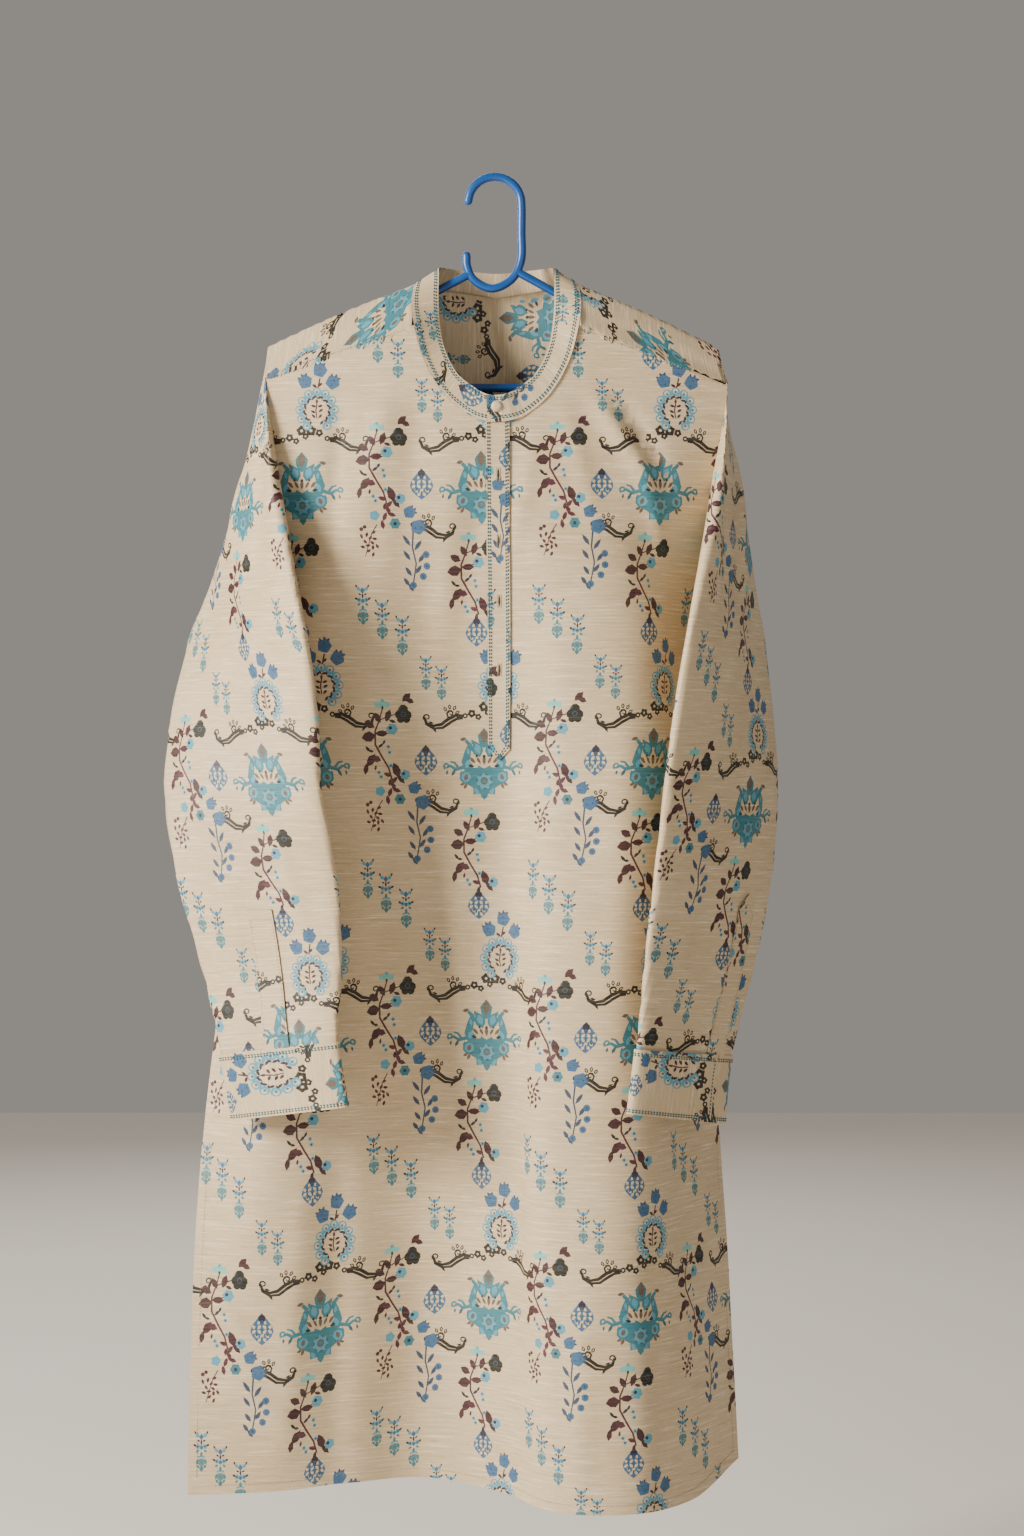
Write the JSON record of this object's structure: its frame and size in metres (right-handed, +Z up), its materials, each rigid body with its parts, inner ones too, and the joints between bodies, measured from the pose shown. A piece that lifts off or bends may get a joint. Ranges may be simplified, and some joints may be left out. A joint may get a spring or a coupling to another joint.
{
  "type": "straight kurta on a hanger",
  "caption": "Long straight kurta with a stand neckband, half placket, yoke, long cuffed sleeves and side slits, hanging on a plastic hanger",
  "frame": {"origin": "inside top of the hanger's hook, where a rail or hook holds it", "axes": "X across the kurta, to the right as seen from the front; Y from the front to the back; Z up"},
  "size_m": [0.5588, 0.1747, 1.1981],
  "materials": {
    "cloth": "silky slub weave with a printed floral and damask pattern",
    "button": "cloth covered, matte",
    "hanger": "smooth, lightly glossy"
  },
  "bodies": {
    "root": {"front": "cloth", "back": "cloth", "yoke": "cloth", "neckband": "cloth", "placket": "cloth", "sleeve_left": "cloth", "sleeve_right": "cloth", "sleeve_placket_left": "cloth", "sleeve_placket_right": "cloth", "cuff_left": "cloth", "cuff_right": "cloth", "collar_button": "button", "hanger_hook": "hanger", "hanger_arm_left": "hanger", "hanger_arm_right": "hanger", "hanger_bar": "hanger"}
  },
  "joints": []
}
